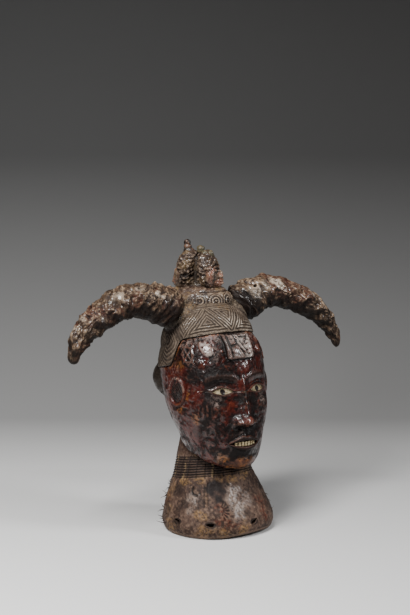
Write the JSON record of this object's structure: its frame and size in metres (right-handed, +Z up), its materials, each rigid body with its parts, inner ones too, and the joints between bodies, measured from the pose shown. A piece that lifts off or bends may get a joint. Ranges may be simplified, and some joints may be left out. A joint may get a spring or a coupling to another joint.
{
  "type": "crest mask",
  "caption": "Carved crest mask: a hide-covered head on a flared, hollow base with lash slits, two curved horns and a small two-faced finial on the crown.",
  "frame": {"origin": "middle of the whole outline seen from above, at the height of the rim's underside", "axes": "+Z up, the face looks toward -Y, +X points to the head's own left"},
  "size_m": [0.4508, 0.2216, 0.4112],
  "materials": {
    "head_hide": "dark red-brown hide over carved wood, glossy on the face, dusty grey on the hair cap and matt on the base",
    "horn_crust": "knobby, crusted hide over wood, matt, grey-brown with dark and red patches",
    "finial_hide": "worn brown hide over carved wood, half matt, with pale dust in the hollows",
    "teeth": "cream inlaid slips, matt"
  },
  "bodies": {
    "root": {"head": "head_hide", "horn_right": "horn_crust", "horn_left": "horn_crust", "crest_finial": "finial_hide", "teeth_upper": "teeth", "teeth_lower": "teeth"}
  },
  "joints": []
}
